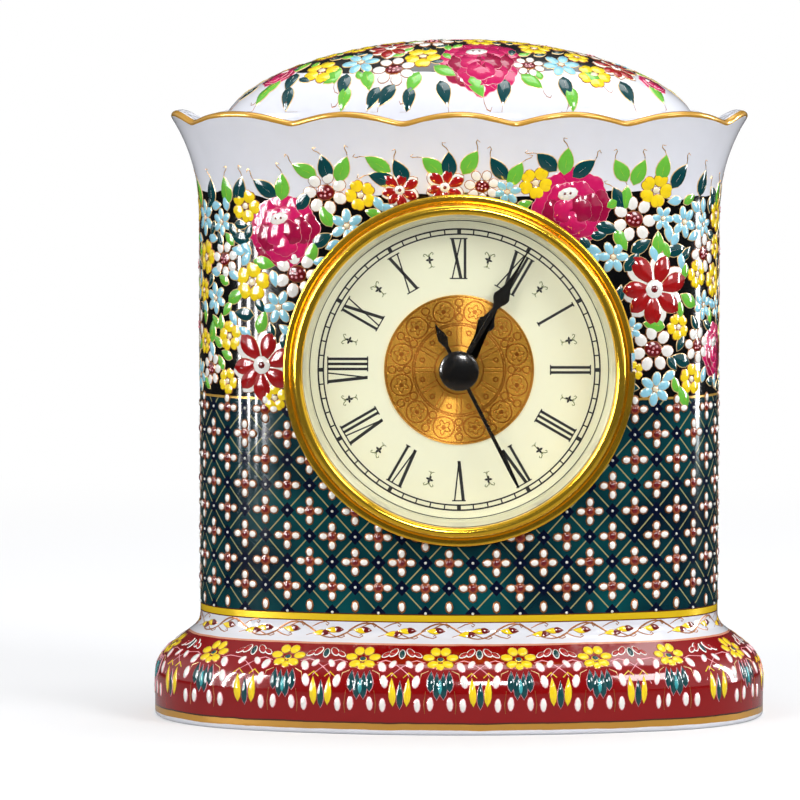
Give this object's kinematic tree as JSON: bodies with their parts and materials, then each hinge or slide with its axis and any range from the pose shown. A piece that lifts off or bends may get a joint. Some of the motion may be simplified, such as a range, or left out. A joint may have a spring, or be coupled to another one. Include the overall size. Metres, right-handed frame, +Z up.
{
  "type": "porcelain mantel clock",
  "caption": "Hollow porcelain mantel clock case with flared scalloped rim and dome, holding a round push-in quartz clock insert with bezel, dial, hands and gear train.",
  "frame": {"origin": "middle of the plane the foot ring stands on, under the middle of the oval case", "axes": "+Z up, the dial faces -Y, +X to the right as seen from the front"},
  "size_m": [0.16, 0.096, 0.177],
  "materials": {
    "glazed_porcelain": "glossy",
    "grip_rubber": "matte",
    "gilt_brass": "polished",
    "clear_lens": "polished",
    "gasket_rubber": "matte",
    "cream_plastic": "satin",
    "cream_paint": "satin",
    "embossed_brass": "embossed",
    "black_paint": "satin",
    "black_gloss": "glossy",
    "black_plastic": "satin",
    "white_plastic": "satin",
    "screw_steel": "satin",
    "board_laminate": "satin",
    "crystal_can": "satin",
    "copper_wire": "lacquered",
    "soft_iron": "satin",
    "magnet_iron": "matte",
    "spring_steel": "satin",
    "cell_jacket": "glossy",
    "cell_steel": "polished"
  },
  "bodies": {
    "case": {"porcelain_case": "glazed_porcelain"},
    "grip": {"grip_ring": "grip_rubber"},
    "insert": {"bezel": "gilt_brass", "lens": "clear_lens", "lens_gasket": "gasket_rubber", "reflector_ring": "cream_plastic", "dial_plate": "cream_paint", "dial_centre": "embossed_brass", "movement_cup": "black_plastic", "movement_front": "black_plastic", "movement_rear": "black_plastic", "movement_screws": "screw_steel", "train_bridge": "white_plastic", "circuit_board": "board_laminate", "quartz_crystal": "crystal_can", "clock_chip": "black_gloss", "coil_bobbin": "white_plastic", "coil_winding": "copper_wire", "coil_core": "soft_iron", "stator": "soft_iron", "contact_positive": "spring_steel", "contact_negative": "spring_steel"},
    "cell": {"battery": "cell_jacket", "battery_terminal": "cell_steel"},
    "seconds": {"seconds_wheel": "white_plastic", "seconds_hand": "black_paint", "seconds_cap": "black_gloss"},
    "rotor": {"rotor_magnet": "magnet_iron", "rotor_pinion": "white_plastic"},
    "intermediate": {"intermediate_wheel": "white_plastic"},
    "third": {"third_wheel": "white_plastic"},
    "centre": {"centre_wheel": "white_plastic"},
    "minute": {"minute_hand": "black_paint", "cannon_pinion": "white_plastic"},
    "minute_work": {"minute_wheel": "white_plastic"},
    "hour": {"hour_wheel": "white_plastic", "hour_hand": "black_paint"},
    "setting": {"set_pinion": "white_plastic", "set_knob": "black_plastic"}
  },
  "joints": [
    {"name": "insert_pull", "type": "slide", "parent": "case", "child": "grip", "axis": [0, -1, 0], "range_m": [0, 0.03]},
    {"name": "insert_turn", "type": "hinge", "parent": "grip", "child": "insert", "pos_m": [0, -0.037, 0.0926], "axis": [0, 1, 0], "continuous": true},
    {"name": "cell_out", "type": "slide", "parent": "insert", "child": "cell", "axis": [0, 1, 0], "range_m": [0, 0.016]},
    {"name": "seconds_turn", "type": "hinge", "parent": "insert", "child": "seconds", "pos_m": [0, -0.037, 0.0926], "axis": [0, 1, 0], "continuous": true},
    {"name": "rotor_turn", "type": "hinge", "parent": "insert", "child": "rotor", "pos_m": [0.01409, -0.037, 0.09452], "axis": [0, 1, 0], "continuous": true},
    {"name": "intermediate_turn", "type": "hinge", "parent": "insert", "child": "intermediate", "pos_m": [0.00685, -0.037, 0.0958], "axis": [0, 1, 0], "continuous": true},
    {"name": "third_turn", "type": "hinge", "parent": "insert", "child": "third", "pos_m": [-0.00773, -0.037, 0.09706], "axis": [0, 1, 0], "continuous": true},
    {"name": "centre_turn", "type": "hinge", "parent": "insert", "child": "centre", "pos_m": [0, -0.037, 0.0926], "axis": [0, 1, 0], "continuous": true},
    {"name": "minute_turn", "type": "hinge", "parent": "insert", "child": "minute", "pos_m": [0, -0.037, 0.0926], "axis": [0, 1, 0], "continuous": true},
    {"name": "minute_work_turn", "type": "hinge", "parent": "insert", "child": "minute_work", "pos_m": [0.00274, -0.037, 0.10012], "axis": [0, 1, 0], "continuous": true},
    {"name": "hour_turn", "type": "hinge", "parent": "insert", "child": "hour", "pos_m": [0, -0.037, 0.0926], "axis": [0, 1, 0], "continuous": true},
    {"name": "setting_turn", "type": "hinge", "parent": "insert", "child": "setting", "pos_m": [0.00547, -0.037, 0.10763], "axis": [0, 1, 0], "continuous": true}
  ],
  "couplings": [
    {"joint": "rotor_turn", "follows": "seconds_turn", "ratio": 30},
    {"joint": "intermediate_turn", "follows": "seconds_turn", "ratio": -5},
    {"joint": "third_turn", "follows": "seconds_turn", "ratio": -0.13333},
    {"joint": "centre_turn", "follows": "seconds_turn", "ratio": 0.016667},
    {"joint": "minute_work_turn", "follows": "minute_turn", "ratio": -0.33333},
    {"joint": "hour_turn", "follows": "minute_turn", "ratio": 0.083333},
    {"joint": "setting_turn", "follows": "minute_turn", "ratio": 1}
  ]
}
